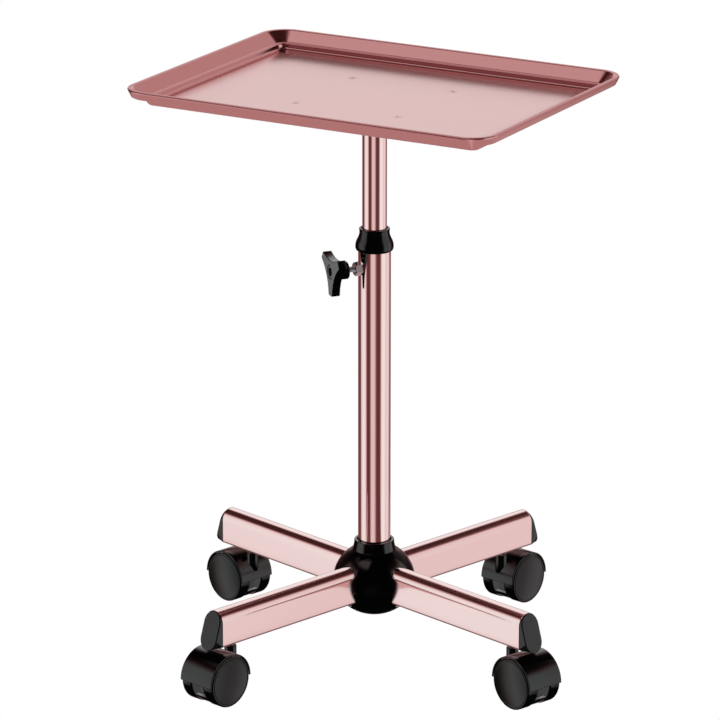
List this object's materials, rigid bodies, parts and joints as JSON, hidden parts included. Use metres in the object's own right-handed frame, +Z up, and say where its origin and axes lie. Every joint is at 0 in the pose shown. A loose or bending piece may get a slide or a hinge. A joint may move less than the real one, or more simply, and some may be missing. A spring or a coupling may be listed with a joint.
{
  "type": "instrument cart",
  "caption": "Wheeled instrument stand with a shallow rectangular tray on a height-adjustable, swivelling column, a lobed lock knob and a cross base on twin-wheel castors.",
  "frame": {"origin": "on the floor, directly under the column axis, with the tray square to the axes", "axes": "+Z up; +X along the tray's long side, to the right; +Y along its short side, to the back. The lock knob is at front left."},
  "size_m": [0.4882, 0.4866, 0.615],
  "materials": {
    "tray_metal": "satin rose-gold anodised sheet",
    "tube_metal": "polished rose-gold plated steel tube",
    "black_plastic": "smooth black moulded plastic",
    "knob_plastic": "fine-grained black moulded plastic",
    "knob_cap_plastic": "dark grey moulded cap",
    "castor_plastic": "smooth black nylon",
    "wheel_plastic": "satin black nylon",
    "bright_steel": "bright nickel plate",
    "plain_steel": "zinc-plated steel",
    "bush_plastic": "natural nylon",
    "pad_brass": "plain brass"
  },
  "bodies": {
    "base": {"lower_tube": "tube_metal", "top_collar": "black_plastic", "weld_nut": "bright_steel", "hub_shell": "black_plastic", "column_plug": "plain_steel", "hub_bolt": "plain_steel", "hub_washer": "plain_steel", "leg_front": "tube_metal", "leg_right": "tube_metal", "leg_back": "tube_metal", "leg_left": "tube_metal", "end_cap_front": "black_plastic", "end_cap_right": "black_plastic", "end_cap_back": "black_plastic", "end_cap_left": "black_plastic", "leg_screws": "plain_steel", "stem_nuts": "plain_steel", "castor_stem_front": "bright_steel", "castor_stem_right": "bright_steel", "castor_stem_back": "bright_steel", "castor_stem_left": "bright_steel"},
    "glide": {"glide_bush": "bush_plastic"},
    "tray_column": {"sliding_tube": "tube_metal", "tube_foot_plug": "black_plastic", "tray_bracket": "black_plastic", "bracket_set_screw": "plain_steel", "tray": "tray_metal", "tray_screws": "bright_steel", "tray_nuts": "plain_steel"},
    "pad": {"clamp_pad": "pad_brass"},
    "knob": {"lock_screw": "bright_steel", "lock_knob": "knob_plastic", "knob_cap": "knob_cap_plastic"},
    "castor_front": {"castor_housing_front": "castor_plastic", "castor_axle_front": "plain_steel"},
    "wheel_front_a": {"wheel_front_a": "wheel_plastic"},
    "wheel_front_b": {"wheel_front_b": "wheel_plastic"},
    "castor_right": {"castor_housing_right": "castor_plastic", "castor_axle_right": "plain_steel"},
    "wheel_right_a": {"wheel_right_a": "wheel_plastic"},
    "wheel_right_b": {"wheel_right_b": "wheel_plastic"},
    "castor_back": {"castor_housing_back": "castor_plastic", "castor_axle_back": "plain_steel"},
    "wheel_back_a": {"wheel_back_a": "wheel_plastic"},
    "wheel_back_b": {"wheel_back_b": "wheel_plastic"},
    "castor_left": {"castor_housing_left": "castor_plastic", "castor_axle_left": "plain_steel"},
    "wheel_left_a": {"wheel_left_a": "wheel_plastic"},
    "wheel_left_b": {"wheel_left_b": "wheel_plastic"}
  },
  "joints": [
    {"name": "height_slide", "type": "slide", "parent": "base", "child": "glide", "axis": [0, 0, 1], "range_m": [-0.092, 0.175]},
    {"name": "tray_swivel", "type": "hinge", "parent": "glide", "child": "tray_column", "pos_m": [0, 0, 0.5], "axis": [0, 0, 1], "continuous": true},
    {"name": "clamp_travel", "type": "slide", "parent": "base", "child": "pad", "axis": [-0.6293, -0.7771, 0], "range_m": [0, 0.0021]},
    {"name": "knob_turn", "type": "hinge", "parent": "pad", "child": "knob", "pos_m": [0, 0, 0.418], "axis": [-0.6293, -0.7771, 0], "range_deg": [0, 720]},
    {"name": "castor_swivel_front", "type": "hinge", "parent": "base", "child": "castor_front", "pos_m": [-0.06021, -0.19523, 0.045], "axis": [0, 0, 1], "continuous": true},
    {"name": "wheel_spin_front_a", "type": "hinge", "parent": "castor_front", "child": "wheel_front_a", "pos_m": [-0.06528, -0.21663, 0.027], "axis": [0.973, -0.2307, 0], "continuous": true},
    {"name": "wheel_spin_front_b", "type": "hinge", "parent": "castor_front", "child": "wheel_front_b", "pos_m": [-0.06528, -0.21663, 0.027], "axis": [0.973, -0.2307, 0], "continuous": true},
    {"name": "castor_swivel_right", "type": "hinge", "parent": "base", "child": "castor_right", "pos_m": [0.19523, -0.06021, 0.045], "axis": [0, 0, 1], "continuous": true},
    {"name": "wheel_spin_right_a", "type": "hinge", "parent": "castor_right", "child": "wheel_right_a", "pos_m": [0.21576, -0.06811, 0.027], "axis": [0.359, 0.9333, 0], "continuous": true},
    {"name": "wheel_spin_right_b", "type": "hinge", "parent": "castor_right", "child": "wheel_right_b", "pos_m": [0.21576, -0.06811, 0.027], "axis": [0.359, 0.9333, 0], "continuous": true},
    {"name": "castor_swivel_back", "type": "hinge", "parent": "base", "child": "castor_back", "pos_m": [0.05605, 0.18175, 0.045], "axis": [0, 0, 1], "continuous": true},
    {"name": "wheel_spin_back_a", "type": "hinge", "parent": "castor_back", "child": "wheel_back_a", "pos_m": [0.06057, 0.20328, 0.027], "axis": [-0.9787, 0.2052, 0], "continuous": true},
    {"name": "wheel_spin_back_b", "type": "hinge", "parent": "castor_back", "child": "wheel_back_b", "pos_m": [0.06057, 0.20328, 0.027], "axis": [-0.9787, 0.2052, 0], "continuous": true},
    {"name": "castor_swivel_left", "type": "hinge", "parent": "base", "child": "castor_left", "pos_m": [-0.18175, 0.05605, 0.045], "axis": [0, 0, 1], "continuous": true},
    {"name": "wheel_spin_left_a", "type": "hinge", "parent": "castor_left", "child": "wheel_left_a", "pos_m": [-0.20267, 0.06287, 0.027], "axis": [-0.3097, -0.9508, 0], "continuous": true},
    {"name": "wheel_spin_left_b", "type": "hinge", "parent": "castor_left", "child": "wheel_left_b", "pos_m": [-0.20267, 0.06287, 0.027], "axis": [-0.3097, -0.9508, 0], "continuous": true}
  ],
  "couplings": [
    {"joint": "clamp_travel", "follows": "knob_turn", "m_per_rad": 0.00015915}
  ]
}
